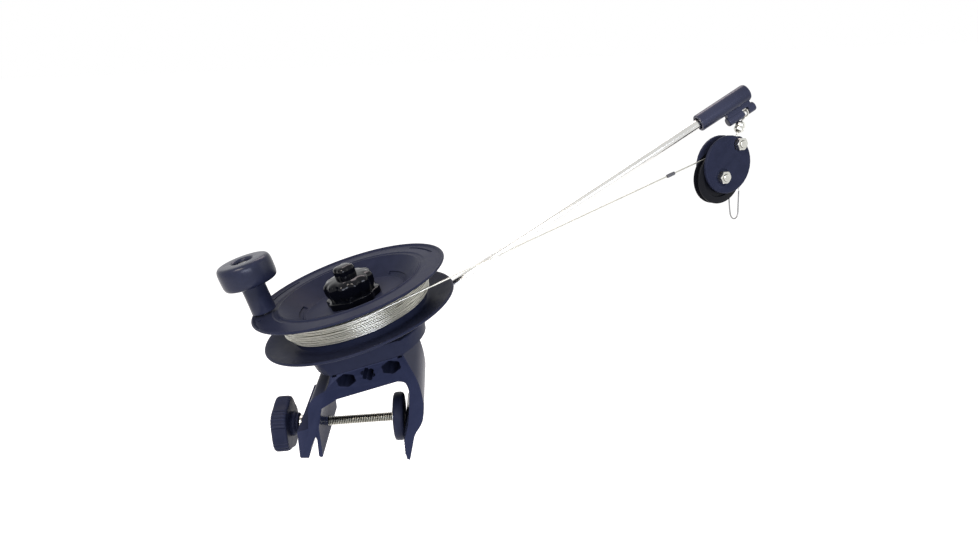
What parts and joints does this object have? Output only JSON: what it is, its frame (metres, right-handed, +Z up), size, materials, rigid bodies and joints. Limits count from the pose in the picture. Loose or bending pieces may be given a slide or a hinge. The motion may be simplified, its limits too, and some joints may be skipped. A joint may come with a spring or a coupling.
{
  "type": "downrigger",
  "caption": "Compact clamp-on manual downrigger: tilted wire spool with crank and brake knobs over a screw clamp, and a rod boom that holds a swinging cable pulley.",
  "frame": {"origin": "middle of the clamp's seat, the flat underside of its web, which rests on top of the gunwale", "axes": "+X along the clamp screw and out over the water, +Y away from the clamp's open front with the wire's side at -Y, +Z up"},
  "size_m": [0.4543, 0.16, 0.2878],
  "materials": {
    "anodised": "dark blue-grey anodised extrusion, satin",
    "moulding": "dark blue-grey glass-filled nylon, fine satin",
    "gloss": "glossy black",
    "steel": "bright stainless",
    "wire": "stranded stainless wire",
    "brass": "turned",
    "fibre": "brown pressed fibre",
    "bead": "dull grey crimp"
  },
  "bodies": {
    "base": {"clamp_bracket": "anodised", "base_plate": "moulding", "base_screw_1": "steel", "base_screw_2": "steel", "base_screw_3": "steel", "base_screw_4": "steel", "base_nut_1": "steel", "base_nut_2": "steel", "base_nut_3": "steel", "base_nut_4": "steel", "spindle_bolt": "steel", "friction_disc": "fibre", "steel_washer": "steel", "disc_spring": "steel", "boom_rod": "steel", "boom_set_screw": "steel", "boom_end": "moulding", "hanger_pin": "steel", "wire_run": "wire"},
    "spool": {"spool_lower": "moulding", "spool_upper": "moulding", "spool_screw_1": "steel", "spool_screw_2": "steel", "spool_screw_3": "steel", "spool_bush": "brass", "fibre_washer": "fibre", "wire_core": "wire", "wire_winding": "wire", "crank_pin": "steel"},
    "crank_knob": {"crank_knob": "moulding"},
    "brake_knob": {"brake_knob": "gloss", "knob_insert": "brass"},
    "clamp_pad": {"clamp_pad": "moulding", "pad_washer": "steel"},
    "clamp_screw": {"clamp_screw": "steel", "clamp_knob": "moulding", "clamp_knob_washer": "steel", "pad_clip": "steel"},
    "hanger": {"upper_eye": "steel", "swivel_barrel": "steel", "stop_bead": "bead", "wire_lead": "wire"},
    "block": {"lower_eye": "steel", "cheek_front": "moulding", "cheek_back": "moulding", "axle_bolt": "steel", "axle_nut": "steel", "ear_bolt": "steel", "ear_nut": "steel", "ear_spacer_1": "steel", "ear_spacer_2": "steel", "wire_end": "wire"},
    "sheave": {"sheave": "gloss", "sheave_bush": "brass"},
    "snap": {"end_loop": "wire"}
  },
  "joints": [
    {"name": "spool_spin", "type": "hinge", "parent": "base", "child": "spool", "pos_m": [0.02083, 0, -0.04881], "axis": [-0.2419, 0, 0.9703], "continuous": true},
    {"name": "crank_knob_spin", "type": "hinge", "parent": "spool", "child": "crank_knob", "pos_m": [-0.07798, -0.00732, 0.05971], "axis": [-0.2419, 0, 0.9703], "continuous": true},
    {"name": "brake_knob_turn", "type": "hinge", "parent": "base", "child": "brake_knob", "pos_m": [0.02083, 0, -0.04881], "axis": [-0.2419, 0, 0.9703], "range_deg": [0, 540]},
    {"name": "clamp_slide", "type": "slide", "parent": "base", "child": "clamp_pad", "axis": [-1, 0, 0], "range_m": [0, 0.045]},
    {"name": "clamp_screw_turn", "type": "hinge", "parent": "clamp_pad", "child": "clamp_screw", "pos_m": [0, 0, -0.04881], "axis": [-1, 0, 0], "range_deg": [0, 12960]},
    {"name": "block_swing", "type": "hinge", "parent": "base", "child": "hanger", "pos_m": [0.33611, 0.06089, 0.19324], "axis": [0.3185, -0.9439, 0.0876], "range_deg": [0, 20]},
    {"name": "swivel_twist", "type": "hinge", "parent": "hanger", "child": "block", "pos_m": [0.32546, 0.0548, 0.1663], "axis": [-0.3598, -0.2059, -0.91], "range_deg": [-6, 6]},
    {"name": "sheave_spin", "type": "hinge", "parent": "block", "child": "sheave", "pos_m": [0.30979, 0.04701, 0.1394], "axis": [0.3185, -0.9439, 0.0876], "continuous": true},
    {"name": "snap_swing", "type": "hinge", "parent": "block", "child": "snap", "pos_m": [0.33399, 0.05379, 0.12445], "axis": [0.3185, -0.9439, 0.0876], "range_deg": [0, 45]}
  ],
  "couplings": [
    {"joint": "clamp_slide", "follows": "clamp_screw_turn", "m_per_rad": 0.00019894},
    {"joint": "sheave_spin", "follows": "spool_spin", "ratio": -3.16}
  ]
}
